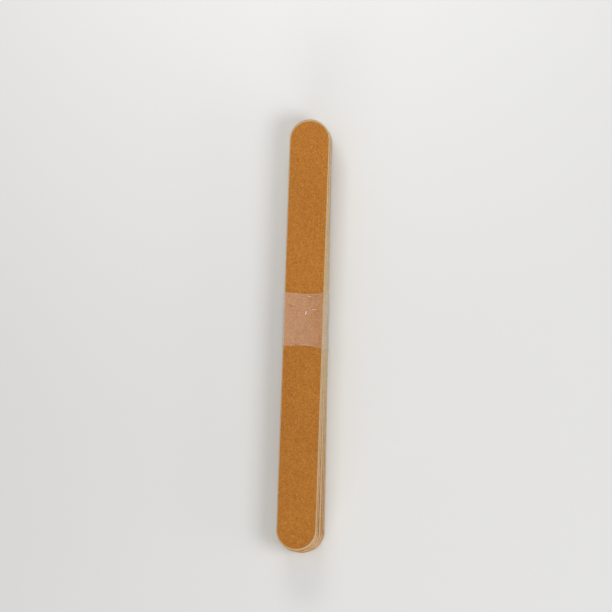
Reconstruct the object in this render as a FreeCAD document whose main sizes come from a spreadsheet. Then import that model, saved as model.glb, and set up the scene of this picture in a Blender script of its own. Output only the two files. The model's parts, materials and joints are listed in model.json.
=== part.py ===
"""Bundle of emery boards held together by a clear shrink film band.

Frame: the bundle lies flat, +Z up, the boards' length along Y, +X to the right of someone who looks
down on it. The origin is on the surface it lies on, under the middle of the boards.
Every board is a card core between two abrasive papers: coarse grit above, fine grit below.
"""

import FreeCAD, Part
import math
import os

import Sketcher

# Driving dimensions, in millimetres and degrees
SIZES = (
    ("board_count", 10, "boards in the bundle"),
    ("board_length", 114.3, "tip to tip, the 4.5 inch trade size"),
    ("board_width", 10.7, "across the flat, and the diameter of the round ends"),
    ("core_thickness", 0.55, "card core"),
    ("coarse_thickness", 0.2, "coarse abrasive paper with its grit"),
    ("fine_thickness", 0.16, "fine abrasive paper with its grit"),
    ("die_bevel", 0.06, "bevel that the cutting die presses onto the coarse paper's rim"),
    ("board_gap", 0.03, "air between one board and the next"),
    ("fan_angle", 0.84, "turn from the lowest board to the top one, in even steps"),
    ("fan_scatter", 0.13, "most that a board is turned out of the even steps"),
    ("end_jog", 0.22, "most that a board is out of line lengthwise"),
    ("uneven_turn", 137.5, "angle that makes scatter and jogs uneven, counted from the top board"),
    ("band_width", 14.7, "film band along the boards, at its corners"),
    ("band_offset", 3.85, "middle of the band from the middle of the boards"),
    ("film_thickness", 0.1, "shrink film"),
    ("film_clearance", 0.05, "air between the film's round corners and the boards"),
    ("film_corner", 0.4, "inside radius of the film at the boards' edges"),
    ("lap_length", 4.0, "double film at the sealed lap, on the left side wall"),
    ("lap_ramp", 0.5, "length over which the outer film climbs onto the inner one"),
    ("upper_draw", 0.45, "draw-in of the band's +Y edge at the middle of its faces"),
    ("lower_draw", 0.7, "draw-in of the band's -Y edge at the middle of its faces"),
    ("side_draw", 0.2, "draw-in of both edges at the middle of the side walls"),
)

# Expressions that several features share
BOARD_THICKNESS = "(Sizes.core_thickness + Sizes.coarse_thickness + Sizes.fine_thickness)"
BOARD_PITCH = f"({BOARD_THICKNESS} + Sizes.board_gap)"
STACK_HEIGHT = f"(Sizes.board_count * {BOARD_PITCH} - Sizes.board_gap)"
WALL_GAP = "(Sizes.film_clearance + Sizes.film_corner * (1 - sqrt(0.5)))"
FAN_REACH = "(Sizes.band_width / 2 * sin(Sizes.fan_angle / 2 + Sizes.fan_scatter))"
INNER_HALF = f"(Sizes.board_width / 2 + {FAN_REACH} + {WALL_GAP})"
INNER_HEIGHT = f"({STACK_HEIGHT} + 2 * {WALL_GAP})"
STACK_BASE = f"(Sizes.film_thickness + {WALL_GAP})"
BAND_MIDDLE = f"(Sizes.film_thickness + {INNER_HEIGHT} / 2)"

doc = FreeCAD.newDocument("EmeryBoards")


def make_sheet():
    """Write the driving dimensions to the spreadsheet, one named cell each."""
    sheet = doc.addObject("Spreadsheet::Sheet", "Sizes")
    for row, (name, value, meaning) in enumerate(SIZES, start=1):
        sheet.set(f"A{row}", name)
        sheet.set(f"B{row}", str(value))
        sheet.set(f"C{row}", meaning)
        sheet.setAlias(f"B{row}", name)
    doc.recompute()
    return sheet


sheet = make_sheet()


def value_of(expression):
    """Number that an expression on the sheet's cells gives, for a sketch's first guess."""
    return float(sheet.evalExpression(expression))


def new_body(label):
    body = doc.addObject("PartDesign::Body", label)
    body.Label = label
    return body


def new_sketch(body, plane, name):
    """Empty sketch on one of the body's own origin planes."""
    sketch = body.newObject("Sketcher::SketchObject", name)
    support = [item for item in body.Origin.OriginFeatures if item.Role == plane]
    sketch.AttachmentSupport = (support[0], [""])
    sketch.MapMode = "FlatFace"
    return sketch


def drive(sketch, name, expression, *constraint):
    """Add a named dimension to a sketch and bind it to the sheet."""
    index = sketch.addConstraint(Sketcher.Constraint(*constraint, value_of(expression)))
    sketch.renameConstraint(index, name)
    sketch.setExpression(f"Constraints.{name}", expression)


def point(across, up):
    return FreeCAD.Vector(across, up, 0)


def arc(centre, radius, start_degrees, end_degrees):
    circle = Part.Circle(centre, FreeCAD.Vector(0, 0, 1), radius)
    return Part.ArcOfCircle(circle, math.radians(start_degrees), math.radians(end_degrees))


def pad(body, sketch, name, length, both_ways=False):
    feature = body.newObject("PartDesign::Pad", name)
    feature.Profile = sketch
    feature.SideType = "Symmetric" if both_ways else "One side"
    feature.setExpression("Length", length)
    doc.recompute()
    return feature


def cut_through(body, sketch, name):
    """Pocket right through the body both ways, which has to take material away."""
    before = body.Shape.Volume
    feature = body.newObject("PartDesign::Pocket", name)
    feature.Profile = sketch
    feature.SideType = "Symmetric"
    feature.Type = "ThroughAll"
    doc.recompute()
    if not body.Shape.Volume < before:
        raise RuntimeError(f"{body.Label}: {name} cut nothing")


def board_outline(body):
    """Sketch of the die's outline: straight sides and full round ends, centred on the body."""
    sketch = new_sketch(body, "XY_Plane", "Outline")
    radius = value_of("Sizes.board_width / 2")
    reach = value_of("(Sizes.board_length - Sizes.board_width) / 2")
    right, upper, left, lower = sketch.addGeometry([
        Part.LineSegment(point(radius, -reach), point(radius, reach)),
        arc(point(0, reach), radius, 0, 180),
        Part.LineSegment(point(-radius, reach), point(-radius, -reach)),
        arc(point(0, -reach), radius, 180, 360),
    ])
    start, end, centre = 1, 2, 3
    origin, upright_axis = -1, -2
    sketch.addConstraint([
        Sketcher.Constraint("Tangent", right, end, upper, start),
        Sketcher.Constraint("Tangent", upper, end, left, start),
        Sketcher.Constraint("Tangent", left, end, lower, start),
        Sketcher.Constraint("Tangent", lower, end, right, start),
        Sketcher.Constraint("Equal", upper, lower),
        Sketcher.Constraint("PointOnObject", upper, centre, upright_axis),
        Sketcher.Constraint("Symmetric", upper, centre, lower, centre, origin, start),
    ])
    drive(sketch, "end_radius", "Sizes.board_width / 2", "Radius", upper)
    drive(sketch, "between_ends", "Sizes.board_length - Sizes.board_width",
          "DistanceY", lower, centre, upper, centre)
    return sketch


def bevel_rim(body, base, thickness):
    """Bevel the upper rim, where the cutting die goes in, never past half of the paper."""
    middle = base.Shape.BoundBox.Center.z
    rim = [f"Edge{number}" for number, edge in enumerate(base.Shape.Edges, start=1)
           if edge.BoundBox.ZMin > middle]
    chamfer = body.newObject("PartDesign::Chamfer", "DieBevel")
    chamfer.Base = (base, rim)
    chamfer.setExpression("Size", f"min(Sizes.die_bevel; {thickness} / 2)")


def seat_on_stack(body, number, lift):
    """Place a layer: its height, its board's turn about the middle of the band, and its jog."""
    uneven = f"sin(Sizes.uneven_turn * (Sizes.board_count - {number}))"
    even_turn = f"Sizes.fan_angle * (0.5 - {number - 1} / max(Sizes.board_count - 1; 1))"
    turn = f"({even_turn} + Sizes.fan_scatter * {uneven})"
    jog = f"(Sizes.end_jog * {uneven})"
    arm = f"(Sizes.band_offset - {jog})"
    body.Placement = FreeCAD.Placement(FreeCAD.Vector(), FreeCAD.Rotation(FreeCAD.Vector(0, 0, 1), 1))
    body.setExpression("Placement.Rotation.Angle", turn)
    body.setExpression("Placement.Base.x", f"{arm} * sin({turn})")
    body.setExpression("Placement.Base.y", f"Sizes.band_offset - {arm} * cos({turn})")
    body.setExpression("Placement.Base.z", f"{STACK_BASE} + {number - 1} * {BOARD_PITCH} + {lift}")


def make_board(number):
    """One board, lowest layer first: fine paper, card core, coarse paper."""
    layers = (
        ("fine_sheet", "Sizes.fine_thickness", "0"),
        ("core", "Sizes.core_thickness", "Sizes.fine_thickness"),
        ("coarse_sheet", "Sizes.coarse_thickness", "(Sizes.fine_thickness + Sizes.core_thickness)"),
    )
    bodies = []
    for layer, thickness, lift in layers:
        body = new_body(f"board_{number:02d}_{layer}")
        slab = pad(body, board_outline(body), "Slab", thickness)
        if layer == "coarse_sheet":
            bevel_rim(body, slab, thickness)
        seat_on_stack(body, number, lift)
        bodies.append(body)
    return bodies


def round_rectangle(sketch, name, half_width, foot, height, radius):
    """Rectangle with round corners, standing at the height foot and centred on the upright axis."""
    side, base = value_of(half_width), value_of(foot)
    top, bend = base + value_of(height), value_of(radius)
    corners = ((side, top, 0), (-side, top, 90), (-side, base, 180), (side, base, 270))
    arcs = []
    for across, up, angle in corners:
        middle = point(across - math.copysign(bend, across), up + (bend if up == base else -bend))
        arcs.append(sketch.addGeometry(arc(middle, bend, angle, angle + 90)))
    start, end, centre = 1, 2, 3
    origin = -1
    lines = []
    for here, after in zip(arcs, arcs[1:] + arcs[:1]):
        line = Part.LineSegment(sketch.getPoint(here, end), sketch.getPoint(after, start))
        lines.append(sketch.addGeometry(line))
        sketch.addConstraint(Sketcher.Constraint("Tangent", here, end, lines[-1], start))
        sketch.addConstraint(Sketcher.Constraint("Tangent", lines[-1], end, after, start))
    upper, left, lower, right = lines
    sketch.addConstraint([Sketcher.Constraint("Equal", arcs[0], other) for other in arcs[1:]])
    sketch.addConstraint(Sketcher.Constraint("Horizontal", upper))
    sketch.addConstraint(Sketcher.Constraint("Vertical", right))
    drive(sketch, f"{name}_bend", radius, "Radius", arcs[0])
    drive(sketch, f"{name}_right", half_width, "DistanceX", origin, start, right, start)
    drive(sketch, f"{name}_width", f"2 * {half_width}", "DistanceX", left, start, right, start)
    drive(sketch, f"{name}_foot", f"{foot} + {radius}", "DistanceY", origin, start, arcs[3], centre)
    drive(sketch, f"{name}_height", f"{height} - 2 * {radius}", "DistanceY", arcs[3], centre, arcs[0], centre)


def film_lap(body):
    """Sketch of the film's outer end, which ramps onto the left wall and stops square."""
    sketch = new_sketch(body, "XZ_Plane", "LapSection")
    wall = f"({INNER_HALF} + Sizes.film_thickness)"
    across = -value_of(wall)
    out = across - value_of("Sizes.film_thickness")
    low = value_of(f"{BAND_MIDDLE} - Sizes.lap_length / 2")
    high = low + value_of("Sizes.lap_length")
    climb = low + value_of("Sizes.lap_ramp")
    outline = (point(across, low), point(out, climb), point(out, high), point(across, high))
    lines = [sketch.addGeometry(Part.LineSegment(here, after))
             for here, after in zip(outline, outline[1:] + outline[:1])]
    start, end = 1, 2
    origin = -1
    for here, after in zip(lines, lines[1:] + lines[:1]):
        sketch.addConstraint(Sketcher.Constraint("Coincident", here, end, after, start))
    ramp, outer, square_end, on_wall = lines
    sketch.addConstraint([
        Sketcher.Constraint("Vertical", outer),
        Sketcher.Constraint("Horizontal", square_end),
        Sketcher.Constraint("Vertical", on_wall),
    ])
    drive(sketch, "wall", wall, "DistanceX", ramp, start, origin, start)
    drive(sketch, "film", "Sizes.film_thickness", "DistanceX", square_end, start, square_end, end)
    drive(sketch, "foot", f"{BAND_MIDDLE} - Sizes.lap_length / 2", "DistanceY", origin, start, ramp, start)
    drive(sketch, "climb", "Sizes.lap_ramp", "DistanceY", ramp, start, ramp, end)
    drive(sketch, "lap", "Sizes.lap_length", "DistanceY", ramp, start, on_wall, start)
    return sketch


def edge_bite(sketch, name, end_sign, along_first, half_chord, middle, draw):
    """Segment of a circle that takes the film's edge back by draw at the middle of one wall.

    along_first is True where the sketch's first axis runs along the boards, and middle is the
    wall's centre on the other axis. end_sign is 1 at the +Y edge and -1 at the other.
    """
    def place(along, cross):
        return point(along, cross) if along_first else point(cross, along)

    edge = end_sign * value_of("Sizes.band_width / 2")
    half, centre_line, depth = value_of(half_chord), value_of(middle), value_of(draw)
    low, high = place(edge, centre_line - half), place(edge, centre_line + half)
    crest = place(edge - end_sign * depth, centre_line)
    bow = sketch.addGeometry(Part.Arc(low, crest, high))
    chord = sketch.addGeometry(Part.LineSegment(low, high))
    tip = sketch.addGeometry(Part.Point(crest))
    start, end = 1, 2
    origin = -1
    ends = [start, end]
    if (sketch.getPoint(bow, start) - low).Length > (sketch.getPoint(bow, end) - low).Length:
        ends.reverse()
    along, cross = ("DistanceX", "DistanceY") if along_first else ("DistanceY", "DistanceX")
    sketch.addConstraint([
        Sketcher.Constraint("Coincident", bow, ends[0], chord, start),
        Sketcher.Constraint("Coincident", bow, ends[1], chord, end),
        Sketcher.Constraint("Vertical" if along_first else "Horizontal", chord),
        Sketcher.Constraint("PointOnObject", tip, start, bow),
    ])
    outward = (origin, start, chord, start) if end_sign > 0 else (chord, start, origin, start)
    inward = (tip, start, chord, start) if end_sign > 0 else (chord, start, tip, start)
    drive(sketch, f"{name}_edge", "Sizes.band_width / 2", along, *outward)
    drive(sketch, f"{name}_draw", draw, along, *inward)
    drive(sketch, f"{name}_chord", f"2 * {half_chord}", cross, chord, start, chord, end)
    drive(sketch, f"{name}_low", f"{middle} - {half_chord}", cross, origin, start, chord, start)
    drive(sketch, f"{name}_crest", half_chord, cross, chord, start, tip, start)
    sketch.toggleConstruction(tip)


def make_band():
    """Shrink film sleeve: round corners, a sealed lap on the left wall, edges drawn in."""
    body = new_body("band")
    section = new_sketch(body, "XZ_Plane", "FilmSection")
    film = "Sizes.film_thickness"
    round_rectangle(section, "inner", INNER_HALF, film, INNER_HEIGHT, "Sizes.film_corner")
    round_rectangle(section, "outer", f"({INNER_HALF} + {film})", "0", f"({INNER_HEIGHT} + 2 * {film})",
                    f"(Sizes.film_corner + {film})")
    pad(body, section, "Sleeve", "Sizes.band_width", both_ways=True)
    pad(body, film_lap(body), "Lap", "Sizes.band_width", both_ways=True)

    faces = new_sketch(body, "XY_Plane", "FaceDraws")
    flat_half = f"({INNER_HALF} - Sizes.film_corner)"
    edge_bite(faces, "upper", 1, False, flat_half, "0", "Sizes.upper_draw")
    edge_bite(faces, "lower", -1, False, flat_half, "0", "Sizes.lower_draw")
    cut_through(body, faces, "DrawnFaces")

    walls = new_sketch(body, "YZ_Plane", "SideDraws")
    wall_half = f"({INNER_HEIGHT} / 2 - Sizes.film_corner)"
    edge_bite(walls, "upper", 1, True, wall_half, BAND_MIDDLE, "Sizes.side_draw")
    edge_bite(walls, "lower", -1, True, wall_half, BAND_MIDDLE, "Sizes.side_draw")
    cut_through(body, walls, "DrawnWalls")

    body.setExpression("Placement.Base.y", "Sizes.band_offset")
    return body


def check_document(subparts):
    """Stop on any failed object, or on a sub-part that isn't one sound solid."""
    doc.recompute()
    for item in doc.Objects:
        if "Invalid" in item.State or "Error" in item.State:
            raise RuntimeError(f"{item.Label} failed: {item.State}")
    for body in subparts:
        shape = body.Shape
        if shape.isNull() or not shape.isValid() or len(shape.Solids) != 1:
            raise RuntimeError(f"{body.Label} isn't one valid solid")


subparts = [make_band()]
for board_number in range(1, int(sheet.board_count) + 1):
    subparts += make_board(board_number)
check_document(subparts)

os.makedirs("parts", exist_ok=True)
for body in subparts:
    body.Shape.exportStep(f"parts/{body.Label}.step")
print(len(subparts), "sub-parts written")
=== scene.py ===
"""Looks of the emery board bundle: grit papers, card edges and shrink film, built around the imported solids.

Lengths are in metres unless a name or comment says mm, in the frame of the solids: +Y along the boards,
+Z up through the stack.
"""

import json
import math

import bpy
import numpy as np
from mathutils import Matrix, Vector

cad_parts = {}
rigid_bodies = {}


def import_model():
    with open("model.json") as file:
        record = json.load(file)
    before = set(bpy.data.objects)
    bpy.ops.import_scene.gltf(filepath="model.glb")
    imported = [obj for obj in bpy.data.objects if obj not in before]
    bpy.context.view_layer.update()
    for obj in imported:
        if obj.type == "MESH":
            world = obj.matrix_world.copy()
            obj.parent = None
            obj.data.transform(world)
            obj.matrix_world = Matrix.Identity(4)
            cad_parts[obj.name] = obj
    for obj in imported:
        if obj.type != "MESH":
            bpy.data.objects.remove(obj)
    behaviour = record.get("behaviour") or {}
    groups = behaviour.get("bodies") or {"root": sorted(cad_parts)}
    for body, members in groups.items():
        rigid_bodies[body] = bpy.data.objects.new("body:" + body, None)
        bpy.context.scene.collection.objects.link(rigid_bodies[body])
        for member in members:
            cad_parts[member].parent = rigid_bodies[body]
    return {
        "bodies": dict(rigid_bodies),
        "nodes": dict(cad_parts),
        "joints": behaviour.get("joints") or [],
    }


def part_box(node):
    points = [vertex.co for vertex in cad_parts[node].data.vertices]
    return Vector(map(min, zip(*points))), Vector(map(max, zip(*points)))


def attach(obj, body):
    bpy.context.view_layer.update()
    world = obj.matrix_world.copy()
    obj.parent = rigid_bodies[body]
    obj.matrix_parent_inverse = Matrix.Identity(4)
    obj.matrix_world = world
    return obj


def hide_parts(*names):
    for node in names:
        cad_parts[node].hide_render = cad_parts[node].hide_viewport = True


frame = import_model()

MM = 0.001
BOARDS = sorted(body for body in frame["bodies"] if body != "band")
LOWEST_BOARD, TOP_BOARD = BOARDS[0], BOARDS[-1]
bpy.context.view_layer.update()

# Grit papers: distance between the points of the two outer faces and of the covered ones, and the relief
OUTER_SPACING = 0.15 * MM
COVERED_SPACING = 0.3 * MM
COARSE_DEPTH = 0.085 * MM
FINE_DEPTH = 0.04 * MM
CLUMP_SIZE = 0.55 * MM
CLUMP_SHARE = 0.35
RIM_DROP = 0.11 * MM
RIM_WIDTH = 0.3 * MM
RIM_FRAY = 0.012 * MM

# Round ends: how soon single grains take over away from the middle, and the smooth field's cell, in spacings
CROWD_GAIN = 1.5
FIELD_SPACINGS = 1.4

# Least width of the worn rim, along the sides and at the tips; below zero, only chips of the grit are gone
OUTER_BARE = (0.06 * MM, 0.26 * MM)
COVERED_BARE = (-0.14 * MM, -0.2 * MM)
WORN_COLOUR = (0.57, 0.42, 0.25, 1.0)
CHIP_SIZE = 0.5 * MM
CHIP_DEPTH_MM = 0.3

# Colours of the grains, from the deepest to the highest, their patches and bump, and the dark specks
COARSE_SHADES = (0.37, 0.124, 0.015), (0.47, 0.171, 0.023), (0.54, 0.212, 0.032), (0.63, 0.29, 0.06)
FINE_SHADES = (0.42, 0.18, 0.04), (0.52, 0.24, 0.06), (0.58, 0.28, 0.08), (0.66, 0.37, 0.14)
SHADE_STOPS = (0.12, 0.42, 0.72, 0.97)
SHADE_CLUMP = 0.9 * MM
SHADE_CLOUD = 14 * MM
BUMP_DISTANCE = 0.05 * MM
SPECK_SPACING = 4.0 * MM

# Card cores: distance between points of the cut edge, its bulge and roughness, and fibres of card and paper
CARD_SPACING = 0.4 * MM
CARD_BULGE = 0.02 * MM
CARD_FRAY = 0.018 * MM
CARD_WAVE = 2.1 * MM
CARD_LEVELS = (0.0, 0.12, 0.32, 0.5, 0.68, 0.88, 1.0)
PLY_SIZE = 0.11 * MM
FLECK_SIZE = 0.22 * MM
PAPER_FIBRE = 0.25 * MM

# Film band: the sizes of the sleeve and of its lap, and the distance between its points
FILM = 0.1 * MM
FILM_CORNER = 0.5 * MM
FILM_STEP = 0.3 * MM
FINE_STEP = 0.08 * MM
CORNER_TURNS = (15, 30, 45, 60, 75)
LAP_LENGTH = 4.0 * MM
LAP_RAMP = 0.5 * MM
LAP_GAP = 0.005 * MM

# How far shrinking has drawn the film's edges in, and where across a face the draw is deepest
FACE_DRAW = {"lower": 0.7 * MM, "upper": 0.45 * MM}
FACE_SKEW = {"lower": 0.2, "upper": 0.3}
SIDE_DRAW = 0.2 * MM
LOWER_SLANT = 0.25 * MM

# Puckers along the film's edges, its slack and ripples, the loose lip at its lower edge, and its crown
PUCKER_DEPTH = 0.09 * MM
PUCKER_REACH = 1.2 * MM
PUCKER_WAVES = (1.1 * MM, 2.3 * MM)
PUCKER_STRETCH = 0.2
SLACK_DEPTH = 0.02 * MM
SLACK_WAVE = 4.0 * MM
RIPPLE_DEPTH = 0.004 * MM
RIPPLE_WAVE = 0.9 * MM
PLANE_WAVES = 8
WAVE_TURN = 0.2
WAVE_RANGE = (0.7, 1.4)
LIP_LIFT = 0.2 * MM
LIP_REACH = 0.25 * MM
LIP_PLACE = -3.3 * MM
LIP_HALF = 2.6 * MM
CROWN_HEIGHT = 0.08 * MM

# Sharp folds of the film's upper face, in mm: place across and along, turn in degrees, length, half width
FOLDS = (
    (0.55, 5.85, 72, 2.2, 0.38),
    (1.5, 10.0, 3, 1.8, 0.3),
    (2.8, 6.5, -4, 2.0, 0.26),
    (3.6, 8.6, 2, 2.6, 0.16),
    (1.6, 9.1, -3, 1.4, 0.14),
    (3.2, 7.6, 4, 3.0, 0.14),
    (3.8, 7.1, -2, 2.0, 0.14),
    (2.9, 9.4, 5, 2.4, 0.14),
    (3.7, 4.7, -32, 1.6, 0.18),
    (3.1, 3.8, -24, 1.8, 0.16),
    (4.0, 3.0, 14, 1.4, 0.14),
    (-3.6, 8.0, 20, 1.2, 0.18),
)
FOLD_SLOPE = 0.4
FOLD_BOW = 0.06

# Faint folds at random between them: how many, their spread in degrees, and the ranges of their sizes in mm
FAINT_FOLDS = 16
FAINT_SPREAD = 14
FAINT_ACROSS = (-4.5, 4.5)
FAINT_ALONG = (-2.5, 10.5)
FAINT_LENGTH = (1.5, 4.0)
FAINT_HALF_WIDTH = (0.08, 0.14)

# How hazy the film is in its clouds; on its folds, for each mm of their height, a whitening that is partly
# real stress whitening and partly a painted highlight; and a painted highlight along its cut edges, with its
# width
HAZE_CLOUD = 2.2 * MM
CLOUD_HAZE = 0.012
FOLD_WHITENING_AND_HIGHLIGHT = 2.0
EDGE_HIGHLIGHT = 0.22
EDGE_HIGHLIGHT_WIDTH = 0.1 * MM

# Seeds of the random draws: each board adds its number to the first three
COARSE_SEED, FINE_SEED, CARD_SEED = 10, 40, 70
PUCKER_SEED, SLACK_SEED, RIPPLE_SEED, FILM_SEED = 3, 5, 6, 9

# Places on the texture map: a paper's face in tiles, and cut edges, hidden faces and the film in strips
TILE_COLUMNS, TILE_ROWS, TILES = 3, 4, 9
TILE_MARGIN = 0.03
EDGE_ROWS = 8
EDGE_MARGIN = 0.1
EDGE_SEAM = 1.02
MAP_MARGIN = 0.01
PAPER_EDGE, PAPER_BACK = (0.75, 0.87), (0.88, 0.99)
CARD_EDGE, CARD_LOWER, CARD_UPPER = (0.0, 0.8), (0.81, 0.89), (0.91, 0.99)
FILM_OUTSIDE, FILM_INSIDE, FILM_SHARE = 0.02, 0.52, 0.46
FILM_LOWER_EDGE, FILM_UPPER_EDGE = 0.51, 0.49

# The photograph: its frame, and where the top board's ends lie in it, in pixels
PHOTO_SIDE = 612
BOARD_TOP_PIXEL = (310.4, 119.2)
BOARD_FOOT_PIXEL = (295.5, 550.2)
CAMERA_DISTANCE = 2.5
CAMERA_TILT_RIGHT = math.radians(8.5)
CAMERA_TILT_FOOT = math.radians(4.5)
SENSOR_MM = 36.0

# The studio: soft boxes by place, aim, size, power in watts and colour, the light all round, and the floor
WHITE, WARM = (1.0, 1.0, 1.0), (1.0, 0.92, 0.82)
LAMPS = {
    "key_box": ((0.35, -0.1, 0.48), (0, 0, 0), (0.25, 0.25), 1.15, WHITE),
    "end_box": ((-0.02, 0.18, 0.16), (0, 0.04, 0), (0.12, 0.08), 0.17, WHITE),
    "near_box": ((-0.06, -0.5, 0.16), (0, 0, 0), (0.4, 0.15), 1.0, WHITE),
    "side_box": ((0.5, -0.12, 0.14), (0, 0, 0), (0.3, 0.15), 0.34, WHITE),
    "top_box": ((-0.4, 0.11, 1.4), (0, 0, 0), (0.6, 0.6), 1.8, WARM),
}
WORLD_STRENGTH = 0.32
FLOOR_HALF = 2.0
FLOOR_DROP = 0.02 * MM
FLOOR_CLOUD = 0.2


def hashed(x, y, seed):
    """Random numbers from 0 to 1 that depend only on whole-number places and a seed."""
    spread = np.sin(x * 12.9898 + y * 78.233 + seed * 37.719) * 43758.5453
    return spread - np.floor(spread)


def value_noise(x, y, cell, seed):
    """Smooth random field from 0 to 1 with features of about one cell."""
    x, y = x / cell, y / cell
    left, low = np.floor(x), np.floor(y)
    across, up = x - left, y - low
    across = across * across * (3 - 2 * across)
    up = up * up * (3 - 2 * up)
    near = hashed(left, low, seed) * (1 - across) + hashed(left + 1, low, seed) * across
    far = hashed(left, low + 1, seed) * (1 - across) + hashed(left + 1, low + 1, seed) * across
    return near * (1 - up) + far * up


def undulation(x, y, wave, seed):
    """Smooth random field from about -1 to 1: a sum of plane waves, all near one wave length."""
    random = np.random.default_rng(seed)
    total = np.zeros(np.broadcast(x, y).shape)
    for turn in np.linspace(0, math.pi, PLANE_WAVES, endpoint=False):
        turn += random.uniform(-WAVE_TURN, WAVE_TURN)
        pitch = 2 * math.pi / (wave * random.uniform(*WAVE_RANGE))
        total += np.sin(pitch * (x * math.cos(turn) + y * math.sin(turn)) + random.uniform(0, 2 * math.pi))
    return total / (PLANE_WAVES / 2)


class BoardPlace:
    """Where a board lies: its axes, its outline's sizes and its layers' heights, read from the solids."""

    def __init__(self, board):
        joint = next(item for item in frame["joints"] if item["child"] == board)
        self.along = np.array(joint["axis"], float)
        self.across = np.array((self.along[1], -self.along[0], 0.0))
        mesh = frame["nodes"][f"{board}_core"].data
        corners = np.empty(len(mesh.vertices) * 3)
        mesh.vertices.foreach_get("co", corners)
        corners = corners.reshape(-1, 3)
        lengths, widths = corners @ self.along, corners @ self.across
        self.half_width = np.ptp(widths) / 2
        self.reach = np.ptp(lengths) / 2 - self.half_width
        self.centre = (self.along * (lengths.min() + lengths.max()) / 2
                       + self.across * (widths.min() + widths.max()) / 2)
        self.board = board

    def heights(self, layer):
        low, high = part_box(f"{self.board}_{layer}")
        return low[2], high[2]

    def in_frame(self, points):
        """Points given across, along and above the board, in the frame of the solids."""
        return (self.centre + points[:, :1] * self.across + points[:, 1:2] * self.along
                + points[:, 2:] * np.array((0.0, 0.0, 1.0)))


def slot_counts(reach, radius, spacing):
    """How many steps a slot shape takes along its sides and round each end."""
    rows = max(3, round(2 * reach / spacing))
    turns = 2 * max(3, round(math.pi * radius / spacing / 2))
    return rows, turns


def slot_grid(reach, radius, spacing):
    """Points and faces of a flat slot shape, a grid between two half discs, and its rim anticlockwise."""
    rings = max(3, round(radius / spacing))
    rows, turns = slot_counts(reach, radius, spacing)
    columns = np.arange(-rings, rings + 1) * radius / rings
    x, y = np.meshgrid(columns, np.linspace(-reach, reach, rows + 1))
    points = [np.column_stack((x.ravel(), y.ravel()))]
    index = np.arange(x.size).reshape(x.shape)
    quads = [np.stack((index[:-1, :-1], index[:-1, 1:], index[1:, 1:], index[1:, :-1]), -1).reshape(-1, 4)]
    triangles = []
    angles = np.linspace(0, math.pi, turns + 1)[1:-1]
    steps = np.arange(1, rings + 1)
    rims = []
    made = x.size
    for sign, row in ((1, rows), (-1, 0)):
        size = steps[:, None] * radius / rings
        cap_x = sign * size * np.cos(angles)
        cap_y = sign * (reach + size * np.sin(angles))
        points.append(np.column_stack((cap_x.ravel(), cap_y.ravel())))
        cap = np.empty((rings + 1, turns + 1), int)
        cap[0] = index[row, rings]
        cap[1:, 0] = index[row, rings + sign * steps]
        cap[1:, -1] = index[row, rings - sign * steps]
        cap[1:, 1:-1] = made + np.arange(cap_x.size).reshape(cap_x.shape)
        made += cap_x.size
        quads.append(np.stack((cap[1:-1, :-1], cap[2:, :-1], cap[2:, 1:], cap[1:-1, 1:]), -1).reshape(-1, 4))
        triangles.append(np.stack((cap[0, :-1], cap[1, :-1], cap[1, 1:]), -1))
        rims.append(cap[-1, 1:-1])
    rim = np.concatenate((index[:, -1], rims[0], index[::-1, 0], rims[1]))
    return np.vstack(points), np.vstack(quads), np.vstack(triangles), rim, rows + turns // 2


def slot_rim(reach, radius, spacing):
    """Points of a slot shape's outline, anticlockwise, with the place of its +Y tip among them."""
    rows, turns = slot_counts(reach, radius, spacing)
    side = np.linspace(-reach, reach, rows + 1)
    angles = np.linspace(0, math.pi, turns + 1)[1:-1]
    cap = np.column_stack((radius * np.cos(angles), reach + radius * np.sin(angles)))
    right = np.column_stack((np.full_like(side, radius), side))
    return np.vstack((right, cap, -right, -cap)), rows + turns // 2


def outward_ways(outline, reach):
    """Direction out of a slot shape at each point of its outline."""
    spine = np.column_stack((np.zeros(len(outline)), np.clip(outline[:, 1], -reach, reach)))
    ways = outline - spine
    return ways / np.linalg.norm(ways, axis=1)[:, None]


def rim_lengths(points):
    """Distance along a closed outline at each point, and at the point after it."""
    steps = np.linalg.norm(np.roll(points, -1, axis=0) - points, axis=1)
    ahead = np.cumsum(steps)
    return ahead - steps, ahead


def ladder(ring, tip):
    """Faces that close a ring of points, rung by rung from its tip, looking down."""
    count = len(ring)
    steps = np.arange(1, count // 2 - 1)
    left, right = ring[(tip + steps) % count], ring[(tip - steps) % count]
    next_left, next_right = ring[(tip + steps + 1) % count], ring[(tip - steps - 1) % count]
    quads = np.stack((left, right, next_right, next_left), -1)
    half = count // 2
    first = (ring[tip], ring[(tip - 1) % count], ring[(tip + 1) % count])
    last = (ring[(tip + half - 1) % count], ring[(tip - half + 1) % count], ring[(tip + half) % count])
    return quads, np.array((first, last))


def wall(upper, lower):
    """Quads between two rings of points, facing out."""
    return np.stack((upper, lower, np.roll(lower, -1), np.roll(upper, -1)), -1)


def within(share, margin):
    """A share from 0 to 1, moved in from both ends by a margin."""
    return margin + (1 - 2 * margin) * share


def tile_places(points, faces, length, width):
    """A long face cut into tiles across its length, laid out in columns and rows of the map."""
    step = length / TILES
    along = points[faces][..., 1] + length / 2
    across = points[faces][..., 0] + width / 2
    tile = np.clip(np.floor(along.mean(1) / step), 0, TILES - 1)[:, None]
    u = (tile % TILE_COLUMNS + within((along - tile * step) / step, TILE_MARGIN)) / TILE_COLUMNS
    v = (tile // TILE_COLUMNS + within(across / width, TILE_MARGIN)) / TILE_ROWS
    return np.stack((u, v), -1)


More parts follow.
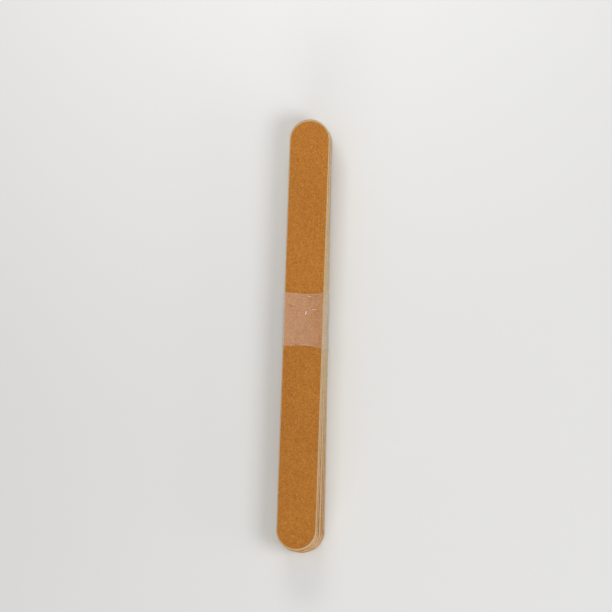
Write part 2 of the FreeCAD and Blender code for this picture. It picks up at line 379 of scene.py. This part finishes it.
def edge_places(rim_length, here, ahead, low, high, strip):
    """A cut edge in rows of a strip of the map: quads from one rim place to the next."""
    bottom, top = strip
    row_length = rim_length / EDGE_ROWS
    row = np.floor(here / row_length)
    u = np.stack((here, here, ahead, ahead), -1) - (row * row_length)[:, None]
    share = np.array((high, low, low, high))
    v = bottom + (top - bottom) * (row[:, None] + within(share[None, :], EDGE_MARGIN)) / EDGE_ROWS
    return np.stack((within(u / (row_length * EDGE_SEAM), MAP_MARGIN), v), -1)


def flat_places(points, faces, length, width, strip):
    """A hidden face, shrunk to a strip of the map."""
    bottom, top = strip
    u = within((points[faces][..., 1] + length / 2) / length, MAP_MARGIN)
    v = bottom + (top - bottom) * (points[faces][..., 0] + width / 2) / width
    return np.stack((u, v), -1)


class Sheaf:
    """Faces of a piece in groups, each with a material slot and its own patch of the texture map."""

    def __init__(self):
        self.faces, self.slots, self.places = [], [], []

    def add(self, faces, slot, places):
        """faces is an array of point numbers, and places the map's place of each of their corners."""
        self.faces += faces.tolist()
        self.slots += [slot] * len(faces)
        self.places.append(places.reshape(-1, 2))

    def build(self, name, points, materials):
        mesh = bpy.data.meshes.new(name)
        mesh.from_pydata(points.tolist(), [], self.faces)
        mesh.polygons.foreach_set("material_index", self.slots)
        mesh.polygons.foreach_set("use_smooth", [True] * len(self.faces))
        places = np.vstack(self.places)
        mesh.uv_layers.new(name="OFBake").data.foreach_set("uv", places.ravel())
        for material in materials:
            mesh.materials.append(material)
        mesh.validate()
        piece = bpy.data.objects.new(name, mesh)
        bpy.context.scene.collection.objects.link(piece)
        return piece


def add_attribute(piece, name, values):
    """Give each point of a piece a number that its material can read."""
    layer = piece.data.attributes.new(name, "FLOAT", "POINT")
    layer.data.foreach_set("value", np.asarray(values, np.float32))


def make_paper(place, layer, spacing, depth, bare, materials, seed):
    """An abrasive paper: grains stand up from its face, the rim is pressed down and its edge is frayed."""
    low, high = place.heights(layer)
    thickness = high - low
    reach, radius = place.reach, place.half_width
    flat, quads, triangles, rim, tip = slot_grid(reach, radius, spacing)
    random = np.random.default_rng(seed)
    past_reach = np.maximum(np.abs(flat[:, 1]) - reach, 0)
    from_spine = np.hypot(flat[:, 0], past_reach)
    inside = radius - from_spine

    # Where a round end's points crowd to its middle, a smooth field takes over from single grains
    single = np.where(past_reach > 0, np.clip(CROWD_GAIN * from_spine / radius, 0, 1), 1)
    field = value_noise(flat[:, 0], flat[:, 1], FIELD_SPACINGS * spacing, seed)
    clumps = value_noise(flat[:, 0], flat[:, 1], CLUMP_SIZE, seed)
    grains = single * random.random(len(flat)) + (1 - single) * field
    grains = np.clip((1 - CLUMP_SHARE) * np.sqrt(grains) + CLUMP_SHARE * clumps, 0, 1)
    over_rim = np.clip(1 - inside / RIM_WIDTH, 0, 1)
    height = thickness - depth * (1 - grains) - RIM_DROP * (1 - np.sqrt(1 - over_rim ** 2))
    face = np.column_stack((flat, height))

    outward = outward_ways(flat[rim], reach)
    fray = RIM_FRAY * (2 * random.random(len(rim)) - 1)
    face[rim, :2] += outward * (fray - RIM_FRAY)[:, None]
    edge = np.column_stack((flat[rim] + outward * (fray - RIM_FRAY)[:, None] / 2, np.zeros(len(rim))))
    points = np.vstack((face, edge))
    back_ring = len(face) + np.arange(len(rim))
    length, width = 2 * (reach + radius), 2 * radius

    sheaf = Sheaf()
    for faces in (quads, triangles):
        sheaf.add(faces, 0, tile_places(points, faces, length, width))
    here, ahead = rim_lengths(flat[rim])
    sheaf.add(wall(rim, back_ring), 1, edge_places(ahead[-1], here, ahead, 0, 1, PAPER_EDGE))
    for faces in ladder(back_ring, tip):
        sheaf.add(faces, 1, flat_places(points, faces, length, width, PAPER_BACK))

    # A fine paper is a coarse one's form turned over, with its grit below
    if layer == "fine_sheet":
        points = points * (-1, 1, -1)
        points[:, 2] += high
    else:
        points[:, 2] += low
    piece = sheaf.build(f"{place.board}_{layer}_grit", place.in_frame(points), materials)
    add_attribute(piece, "grain", np.concatenate((grains, np.zeros(len(rim)))))
    gritted = (inside - np.interp(past_reach / radius, (0, 1), bare)) / MM
    add_attribute(piece, "gritted", np.concatenate((gritted, gritted[rim])))
    return piece


def make_core(place, material, seed):
    """A card core: the die leaves its cut edge slightly bulged, rough and fibrous."""
    low, high = place.heights("core")
    reach, radius = place.reach, place.half_width
    outline, tip = slot_rim(reach, radius, CARD_SPACING)
    count = len(outline)
    outward = outward_ways(outline, reach)
    here, ahead = rim_lengths(outline)
    random = np.random.default_rng(seed)
    rings = []
    for level in CARD_LEVELS:
        bulge = CARD_BULGE * (4 * level * (1 - level) - 1)
        waves = value_noise(here, np.full(count, level * MM), CARD_WAVE, seed)
        fray = CARD_FRAY * (random.random(count) + waves - 1)
        ring = outline + outward * (bulge + fray)[:, None]
        rings.append(np.column_stack((ring, np.full(count, low + level * (high - low)))))
    points = np.vstack(rings)
    numbers = np.arange(len(points)).reshape(len(CARD_LEVELS), count)
    length, width = 2 * (reach + radius), 2 * radius

    sheaf = Sheaf()
    for lower, span in enumerate(zip(CARD_LEVELS, CARD_LEVELS[1:])):
        faces = wall(numbers[lower + 1], numbers[lower])
        sheaf.add(faces, 0, edge_places(ahead[-1], here, ahead, *span, CARD_EDGE))
    for faces in ladder(numbers[0], tip):
        sheaf.add(faces, 0, flat_places(points, faces, length, width, CARD_LOWER))
    for faces in ladder(numbers[-1], tip):
        faces = faces[:, ::-1]
        sheaf.add(faces, 0, flat_places(points, faces, length, width, CARD_UPPER))
    return sheaf.build(f"{place.board}_core_card", place.in_frame(points), [material])


def grey(value):
    return (value, value, value, 1.0)


class Nodes:
    """A material's node tree, with short ways to add nodes and link them."""

    def __init__(self, name):
        self.material = bpy.data.materials.new(name)
        self.material.use_nodes = True
        self.tree = self.material.node_tree
        self.tree.nodes.clear()
        self.output = self.tree.nodes.new("ShaderNodeOutputMaterial")

    def put(self, socket, value):
        """Link a socket to another node's output, or give it a plain value."""
        if isinstance(value, bpy.types.NodeSocket):
            self.tree.links.new(value, socket)
        else:
            socket.default_value = value

    def add(self, kind, inputs=None, **settings):
        node = self.tree.nodes.new(f"ShaderNode{kind}")
        for name, value in settings.items():
            setattr(node, name, value)
        for name, value in (inputs or {}).items():
            self.put(node.inputs[name], value)
        return node

    def math(self, operation, first, second=0.0):
        return self.add("Math", {0: first, 1: second}, operation=operation).outputs[0]

    def ramp(self, factor, *stops):
        """Colours at positions along a factor; a plain number stands for a grey."""
        node = self.add("ValToRGB", {"Fac": factor})
        elements = node.color_ramp.elements
        while len(elements) < len(stops):
            elements.new(0.5)
        for element, (position, colour) in zip(elements, stops):
            element.position = position
            element.color = (*colour, 1.0) if isinstance(colour, tuple) else grey(colour)
        return node.outputs["Color"]

    def blend(self, factor, first, second, mode="MIX"):
        node = self.add("Mix", data_type="RGBA", blend_type=mode)
        for name, value in (("Factor_Float", factor), ("A_Color", first), ("B_Color", second)):
            self.put(next(item for item in node.inputs if item.identifier == name), value)
        return next(item for item in node.outputs if item.identifier == "Result_Color")

    def tint(self, colour, factor, *stops):
        """A colour multiplied by a ramp."""
        return self.blend(1.0, colour, self.ramp(factor, *stops), "MULTIPLY")

    def noise(self, vector, size, detail=2.0, roughness=0.5):
        inputs = {"Vector": vector, "Scale": 1 / size, "Detail": detail, "Roughness": roughness}
        return self.add("TexNoise", inputs).outputs["Fac"]

    def place(self):
        return self.add("TexCoord").outputs["Object"]

    def attribute(self, name):
        return self.add("Attribute", attribute_name=name).outputs["Fac"]

    def finish(self, shader):
        self.tree.links.new(shader, self.output.inputs["Surface"])
        return self.material


def grit_material(name, grain_size, gap, shades, bump, glints):
    """Abrasive grains in amber resin: each grain has its own shade, with dark gaps and a worn rim."""
    nodes = Nodes(name)
    place = nodes.place()
    cells = nodes.add("TexVoronoi", {"Vector": place, "Scale": 1 / grain_size, "Randomness": 1.0})
    shade = nodes.add("SeparateColor", {"Color": cells.outputs["Color"]}).outputs["Red"]
    height = nodes.attribute("grain")
    level = nodes.math("ADD", nodes.math("MULTIPLY", shade, 0.55), nodes.math("MULTIPLY", height, 0.45))
    colour = nodes.ramp(level, *zip(SHADE_STOPS, shades))
    colour = nodes.tint(colour, cells.outputs["Distance"], (0.25, 1.0), (0.75, gap))
    clumps = nodes.noise(place, SHADE_CLUMP, 3.0)
    colour = nodes.tint(colour, clumps, (0.3, (0.95, 0.94, 0.93)), (0.7, (1.05, 1.05, 1.06)))
    cloud = nodes.noise(place, SHADE_CLOUD, 2.0)
    colour = nodes.tint(colour, cloud, (0.3, (0.96, 0.95, 0.94)), (0.7, (1.04, 1.05, 1.06)))
    specks = nodes.add("TexVoronoi", {"Vector": place, "Scale": 1 / SPECK_SPACING}).outputs["Distance"]
    colour = nodes.tint(colour, specks, (0.02, (0.5, 0.47, 0.5)), (0.05, 1.0))
    chips = nodes.math("MULTIPLY", nodes.noise(place, CHIP_SIZE, 3.0), -CHIP_DEPTH_MM)
    worn = nodes.ramp(nodes.math("ADD", nodes.attribute("gritted"), chips), (0.0, 0.85), (0.1, 0.0))
    colour = nodes.blend(worn, colour, WORN_COLOUR)
    rough = nodes.ramp(shade, (0.0, 0.86), (0.8, 0.74), (1.0, 0.5)) if glints else 0.8
    heights = {"Strength": bump, "Distance": BUMP_DISTANCE, "Height": cells.outputs["Distance"]}
    relief = nodes.add("Bump", heights, invert=True).outputs["Normal"]
    shader = nodes.add("BsdfPrincipled", {
        "Base Color": colour, "Roughness": rough, "Normal": relief, "Specular IOR Level": 0.2})
    return nodes.finish(shader.outputs["BSDF"])


def paper_material():
    """Brown backing paper of the abrasive sheets, seen at its cut edge."""
    nodes = Nodes("backing_paper")
    fibres = nodes.add("Mapping", {"Vector": nodes.place(), "Scale": (1.0, 0.15, 4.0)}).outputs["Vector"]
    colour = nodes.ramp(nodes.noise(fibres, PAPER_FIBRE, 4.0, 0.6),
                        (0.25, (0.28, 0.165, 0.07)), (0.55, (0.4, 0.27, 0.13)), (0.8, (0.52, 0.38, 0.22)))
    shader = nodes.add("BsdfPrincipled", {"Base Color": colour, "Roughness": 0.85, "Specular IOR Level": 0.2})
    return nodes.finish(shader.outputs["BSDF"])


def card_material():
    """Pale pulp card at its cut edge: plies and fibres run along it."""
    nodes = Nodes("core_card")
    place = nodes.place()
    plies = nodes.add("Mapping", {"Vector": place, "Scale": (0.25, 0.06, 1.0)}).outputs["Vector"]
    colour = nodes.ramp(nodes.noise(plies, PLY_SIZE, 4.0, 0.6),
                        (0.25, (0.58, 0.45, 0.27)), (0.5, (0.77, 0.63, 0.41)), (0.8, (0.87, 0.76, 0.54)))
    flecks = nodes.noise(place, FLECK_SIZE, 3.0, 0.65)
    colour = nodes.tint(colour, flecks, (0.3, (0.82, 0.8, 0.77)), (0.55, 1.0), (0.8, (1.06, 1.06, 1.07)))
    shader = nodes.add("BsdfPrincipled", {"Base Color": colour, "Roughness": 0.9, "Specular IOR Level": 0.15})
    return nodes.finish(shader.outputs["BSDF"])


def film_material():
    """Clear shrink film: it mirrors a little of what is around it and is faintly hazy, with painted
    highlights on its folds and along its cut edges.
    """
    nodes = Nodes("shrink_film")
    facing = nodes.add("LayerWeight", {"Blend": 0.5}).outputs["Facing"]
    mirror = nodes.math("ADD", nodes.math("MULTIPLY", nodes.math("POWER", facing, 5.0), 0.12), 0.04)
    cloud = nodes.math("MULTIPLY", nodes.noise(nodes.place(), HAZE_CLOUD, 3.0), CLOUD_HAZE)
    # The pale attribute adds painted highlights on the folds and cut edges to the hazy clouds, shown as white
    # diffuse
    haze_and_highlight = nodes.math("ADD", cloud, nodes.attribute("pale"))
    clear = nodes.add("BsdfTransparent", {"Color": grey(1.0)})
    milky_haze_and_highlight = nodes.add("BsdfDiffuse", {"Color": grey(0.9)})
    body = nodes.add("MixShader", {0: haze_and_highlight, 1: clear.outputs[0], 2: milky_haze_and_highlight.outputs[0]})
    gloss = nodes.add("BsdfGlossy", {"Color": grey(1.0), "Roughness": 0.2})
    shader = nodes.add("MixShader", {0: mirror, 1: body.outputs[0], 2: gloss.outputs[0]})
    return nodes.finish(shader.outputs[0])


def drawn(from_middle, skew):
    """Share, from 0 to 1, of an edge's draw-in across a wall, deepest at skew."""
    side = np.where(from_middle < skew, (skew - from_middle) / (1 + skew), (from_middle - skew) / (1 - skew))
    return 1 - np.clip(side, 0, 1) ** 2


class FilmSection:
    """The sleeve's section as one strip: up the left wall, over the stack, down, under it, onto the lap."""

    def __init__(self):
        low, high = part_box("band")
        self.half = high[0] - FILM
        self.low, self.high = FILM, high[2] - FILM
        self.middle = (self.low + self.high) / 2
        self.corner = FILM_CORNER - FILM
        self.edges = low[1], high[1]
        self.places, self.normals, self.lifts, self.walls = [], [], [], []
        self.lay_points()
        self.places, self.normals = np.array(self.places), np.array(self.normals)
        self.lifts, self.walls = np.array(self.lifts), np.array(self.walls)

    def put(self, place, normal, lift, name):
        self.places.append(place)
        self.normals.append(normal)
        self.lifts.append(lift)
        self.walls.append(name)

    def lay_points(self):
        """Places, outward directions, the lift over the inner film and the wall that each point is on."""
        half, low, high, bend = self.half, self.low, self.high, self.corner
        lap_foot = self.middle - LAP_LENGTH / 2
        runs = [
            ("left", (-half, lap_foot + LAP_RAMP), (-half, high - bend)),
            ("top", (-half + bend, high), (half - bend, high)),
            ("right", (half, high - bend), (half, low + bend)),
            ("bottom", (half - bend, low), (-half + bend, low)),
            ("left", (-half, low + bend), (-half, lap_foot)),
            ("lap", (-half, lap_foot), (-half, lap_foot + LAP_LENGTH)),
        ]
        for number, (name, start, end) in enumerate(runs):
            start, end = np.array(start), np.array(end)
            run = np.linalg.norm(end - start)
            way = (end - start) / run
            normal = np.array((-way[1], way[0]))
            count = max(2, round(run / (FINE_STEP if name == "top" else FILM_STEP)))
            first = 1 if name == "lap" else 0
            for step in range(first, count + 1):
                climb = min(1.0, run * step / count / LAP_RAMP) if name == "lap" else 0.0
                self.put(start + way * run * step / count, normal, climb * (FILM + LAP_GAP), name)
            # A corner follows each of the first four runs
            if number < 4:
                centre = end - normal * bend
                for turn in np.radians(CORNER_TURNS):
                    turned = normal * math.cos(turn) + way * math.sin(turn)
                    self.put(centre + turned * bend, turned, 0.0, "corner")

    def around(self):
        """Distance along the strip at each point."""
        steps = np.linalg.norm(np.diff(self.places, axis=0, prepend=self.places[:1]), axis=1)
        return np.cumsum(steps)

    def drawn_edges(self):
        """Each point's way from its wall's middle, from -1 to 1, and where the film starts and ends there."""
        flat_half = self.half - self.corner
        wall_half = (self.high - self.low) / 2 - self.corner
        from_middle = np.ones(len(self.places))
        draws = np.zeros((len(self.places), 2))
        for number, name in enumerate(self.walls):
            x, z = self.places[number]
            if name in ("top", "bottom"):
                from_middle[number] = x / flat_half
                draws[number] = [depth * drawn(x / flat_half, FACE_SKEW[edge])
                                 for edge, depth in FACE_DRAW.items()]
            elif name != "corner":
                from_middle[number] = (z - self.middle) / wall_half
                draws[number] = SIDE_DRAW * drawn(from_middle[number], 0.0)
        low_edge, high_edge = self.edges
        starts = low_edge + draws[:, 0] - LOWER_SLANT * self.places[:, 0] / self.half
        return from_middle, starts, high_edge - draws[:, 1]


def film_folds(section, y):
    """Height of the sharp folds at every point of the film's upper face: each is a dart with pointed ends."""
    random = np.random.default_rng(FILM_SEED)
    folds = list(FOLDS)
    # Every third faint fold runs along the boards, and the others across them
    for number in range(FAINT_FOLDS):
        degrees = random.normal(90 if number % 3 == 0 else 0, FAINT_SPREAD)
        folds.append((random.uniform(*FAINT_ACROSS), random.uniform(*FAINT_ALONG), degrees,
                      random.uniform(*FAINT_LENGTH), random.uniform(*FAINT_HALF_WIDTH)))
    crests = np.zeros(y.shape)
    x = np.broadcast_to(section.places[:, :1], y.shape)
    for across, along, degrees, length, half_width in folds:
        way = math.cos(math.radians(degrees)), math.sin(math.radians(degrees))
        from_x, from_y = x - across * MM, y - along * MM
        run = (from_x * way[0] + from_y * way[1]) / (length * MM / 2)
        bow = FOLD_BOW * length * MM * random.uniform(-1, 1) * run ** 2
        reach = half_width * MM * np.clip(1 - run ** 2, 0, 1)
        side = np.abs(from_y * way[0] - from_x * way[1] - bow)
        crests = np.maximum(crests, FOLD_SLOPE * np.clip(reach - side, 0, None))
    return crests * (section.walls == "top")[:, None]


def film_relief(section, around, from_middle, from_start, from_end, y):
    """How far the film stands off its section at each point, and how pale it is there: whitening on its folds
    that is partly real and partly a painted highlight, and a painted highlight along its cut edges.
    """
    s = np.broadcast_to(around[:, None], y.shape)
    from_middle = np.clip(np.abs(from_middle), 0, 1)[:, None]
    free = np.isin(section.walls, ("top", "right"))[:, None]
    loose = (1 - from_middle) ** 0.5
    to_edge = np.minimum(from_start, from_end)
    waves = sum(value_noise(s, y * PUCKER_STRETCH, wave, PUCKER_SEED + number) / len(PUCKER_WAVES)
                for number, wave in enumerate(PUCKER_WAVES))
    pucker = PUCKER_DEPTH * waves * np.exp(-to_edge / PUCKER_REACH)
    slack = SLACK_DEPTH * (1 + undulation(s, y, SLACK_WAVE, SLACK_SEED))
    ripple = RIPPLE_DEPTH * (1 + undulation(s, y, RIPPLE_WAVE, RIPPLE_SEED))
    beside_lip = np.clip(np.abs(section.places[:, 0] - LIP_PLACE) / LIP_HALF, 0, 1)[:, None]
    lip = LIP_LIFT * (1 - beside_lip ** 2) * np.exp(-from_start / LIP_REACH)
    crown = CROWN_HEIGHT * (1 - from_middle ** 2)
    crests = film_folds(section, y)
    swell = free * (crown + loose * (pucker + slack + ripple + lip)) + crests
    # Painted highlight along the cut edges; on the folds a whitening that is partly real stress whitening and
    # partly painted highlight
    pale = np.clip(FOLD_WHITENING_AND_HIGHLIGHT * crests / MM + EDGE_HIGHLIGHT * np.exp(-to_edge / EDGE_HIGHLIGHT_WIDTH), 0, 1)
    return swell, pale


def make_band(material):
    """The film band: a strip with real thickness, wrapped once round the boards and sealed on its own end."""
    section = FilmSection()
    count = len(section.places)
    around = section.around()
    from_middle, starts, ends = section.drawn_edges()
    low_edge, high_edge = section.edges
    rows = round((high_edge - low_edge) / FINE_STEP)
    share = np.linspace(0, 1, rows + 1)
    y = starts[:, None] + (ends - starts)[:, None] * share[None, :]
    swell, pale = film_relief(section, around, from_middle, y - starts[:, None], ends[:, None] - y, y)

    layers = []
    for thickness in (FILM, 0.0):
        out = swell + section.lifts[:, None] + thickness
        x = section.places[:, None, 0] + section.normals[:, None, 0] * out
        z = section.places[:, None, 1] + section.normals[:, None, 1] * out
        layers.append(np.stack((x, y, z), -1).reshape(-1, 3))
    points = np.vstack(layers)
    outer = np.arange(count * (rows + 1)).reshape(count, rows + 1)
    inner = outer + outer.size
    u = np.broadcast_to(within(around / around[-1], MAP_MARGIN)[:, None], y.shape).ravel()
    v = np.broadcast_to(share[None, :], y.shape).ravel()

    def quads(grid):
        return np.stack((grid[:-1, :-1], grid[1:, :-1], grid[1:, 1:], grid[:-1, 1:]), -1).reshape(-1, 4)

    def rim(over, under):
        return np.stack((over[:-1], over[1:], under[1:], under[:-1]), -1)

    def sheet_places(faces, bottom):
        flat = faces % outer.size
        return np.stack((u[flat], bottom + FILM_SHARE * v[flat]), -1)

    def line_places(faces, height):
        return np.stack((u[faces % outer.size], np.full(faces.shape, height)), -1)

    outside, inside = quads(outer), quads(inner)[:, ::-1]
    lower, upper = rim(outer[:, 0], inner[:, 0])[:, ::-1], rim(outer[:, -1], inner[:, -1])
    first, last = rim(outer[0], inner[0]), rim(outer[-1], inner[-1])[:, ::-1]
    sheaf = Sheaf()
    sheaf.add(outside, 0, sheet_places(outside, FILM_OUTSIDE))
    sheaf.add(inside, 0, sheet_places(inside, FILM_INSIDE))
    sheaf.add(lower, 0, line_places(lower, FILM_LOWER_EDGE))
    sheaf.add(upper, 0, line_places(upper, FILM_UPPER_EDGE))
    for end in (first, last):
        sheaf.add(end, 0, sheet_places(end, FILM_OUTSIDE))
    piece = sheaf.build("film_band", points, [material])
    # The pale attribute carries the painted highlights of the folds and cut edges
    add_attribute(piece, "pale", np.concatenate((pale.ravel(), np.zeros(pale.size))))
    return piece


def dress(piece, body, node):
    """Let a piece stand for a node and move with its body."""
    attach(piece, body)
    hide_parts(node)


def make_boards():
    """The three layers of every board, each in place of its solid."""
    coarse = grit_material("coarse_grit", grain_size=0.2 * MM, gap=0.82, shades=COARSE_SHADES,
                           bump=0.5, glints=True)
    fine = grit_material("fine_grit", grain_size=0.13 * MM, gap=0.88, shades=FINE_SHADES,
                         bump=0.35, glints=False)
    paper = paper_material()
    card = card_material()
    outer, covered = (OUTER_SPACING, OUTER_BARE), (COVERED_SPACING, COVERED_BARE)
    for number, board in enumerate(BOARDS, start=1):
        place = BoardPlace(board)
        spacing, bare = outer if board == TOP_BOARD else covered
        seed = COARSE_SEED + number
        grit = make_paper(place, "coarse_sheet", spacing, COARSE_DEPTH, bare, [coarse, paper], seed)
        dress(grit, board, f"{board}_coarse_sheet")
        spacing, bare = outer if board == LOWEST_BOARD else covered
        seed = FINE_SEED + number
        grit = make_paper(place, "fine_sheet", spacing, FINE_DEPTH, bare, [fine, paper], seed)
        dress(grit, board, f"{board}_fine_sheet")
        dress(make_core(place, card, CARD_SEED + number), board, f"{board}_core")


def make_floor():
    """Plain pale floor under the bundle."""
    half = FLOOR_HALF
    mesh = bpy.data.meshes.new("floor")
    corners = [(-half, -half, 0), (half, -half, 0), (half, half, 0), (-half, half, 0)]
    mesh.from_pydata(corners, [], [(0, 1, 2, 3)])
    nodes = Nodes("floor")
    cloud = nodes.noise(nodes.place(), FLOOR_CLOUD, 2.0)
    tone = nodes.ramp(cloud, (0.3, (0.79, 0.79, 0.785)), (0.7, (0.82, 0.82, 0.815)))
    shader = nodes.add("BsdfPrincipled", {"Base Color": tone, "Roughness": 0.9, "Specular IOR Level": 0.1})
    mesh.materials.append(nodes.finish(shader.outputs["BSDF"]))
    floor = bpy.data.objects.new("floor", mesh)
    floor.location.z = -FLOOR_DROP
    bpy.context.scene.collection.objects.link(floor)


def make_lamp(name, place, aim, size, power, colour):
    """A soft box at a place, turned to what it lights."""
    data = bpy.data.lights.new(name, "AREA")
    data.shape = "RECTANGLE"
    data.size, data.size_y = size
    data.energy = power
    data.color = colour
    lamp = bpy.data.objects.new(name, data)
    lamp.location = place
    lamp.rotation_mode = "QUATERNION"
    lamp.rotation_quaternion = (Vector(aim) - Vector(place)).to_track_quat("-Z", "Y")
    bpy.context.scene.collection.objects.link(lamp)


def make_world(strength):
    """Even white light from all round."""
    world = bpy.data.worlds.new("studio")
    world.use_nodes = True
    background = world.node_tree.nodes["Background"]
    background.inputs["Color"].default_value = grey(1.0)
    background.inputs["Strength"].default_value = strength
    bpy.context.scene.world = world


def make_camera():
    """A long lens at the photograph's angle: the top board's middle and lean land where they are in it."""
    place = BoardPlace(TOP_BOARD)
    top = place.heights("coarse_sheet")[1]
    centre = Vector(place.centre) + Vector((0, 0, top))
    back = Vector((math.tan(CAMERA_TILT_RIGHT), -math.tan(CAMERA_TILT_FOOT), 1.0)).normalized()
    shown_right = BOARD_TOP_PIXEL[0] - BOARD_FOOT_PIXEL[0]
    shown_up = BOARD_FOOT_PIXEL[1] - BOARD_TOP_PIXEL[1]
    lean = math.atan2(shown_right, shown_up)
    along = Vector(place.along)
    axis = (along - back * along.dot(back)).normalized()
    up = axis * math.cos(lean) + back.cross(axis) * math.sin(lean)
    right = up.cross(back)
    length = 2 * (place.reach + place.half_width) * along.dot(axis)
    pixel = length / math.hypot(shown_right, shown_up)
    middle_x = (BOARD_TOP_PIXEL[0] + BOARD_FOOT_PIXEL[0]) / 2
    middle_y = (BOARD_TOP_PIXEL[1] + BOARD_FOOT_PIXEL[1]) / 2
    aim = (centre + right * (PHOTO_SIDE / 2 - middle_x) * pixel
           - up * (PHOTO_SIDE / 2 - middle_y) * pixel)
    data = bpy.data.cameras.new("camera")
    data.sensor_width = SENSOR_MM
    data.lens = SENSOR_MM * CAMERA_DISTANCE / (PHOTO_SIDE * pixel)
    data.clip_start, data.clip_end = 0.01, 20.0
    camera = bpy.data.objects.new("camera", data)
    turn = Matrix((right, up, back)).transposed().to_4x4()
    camera.matrix_world = Matrix.Translation(aim + back * CAMERA_DISTANCE) @ turn
    bpy.context.scene.collection.objects.link(camera)
    bpy.context.scene.camera = camera


make_boards()
dress(make_band(film_material()), "band", "band")
make_floor()
make_world(WORLD_STRENGTH)
for lamp_name, settings in LAMPS.items():
    make_lamp(lamp_name, *settings)
make_camera()
bpy.context.scene.view_settings.view_transform = "Standard"
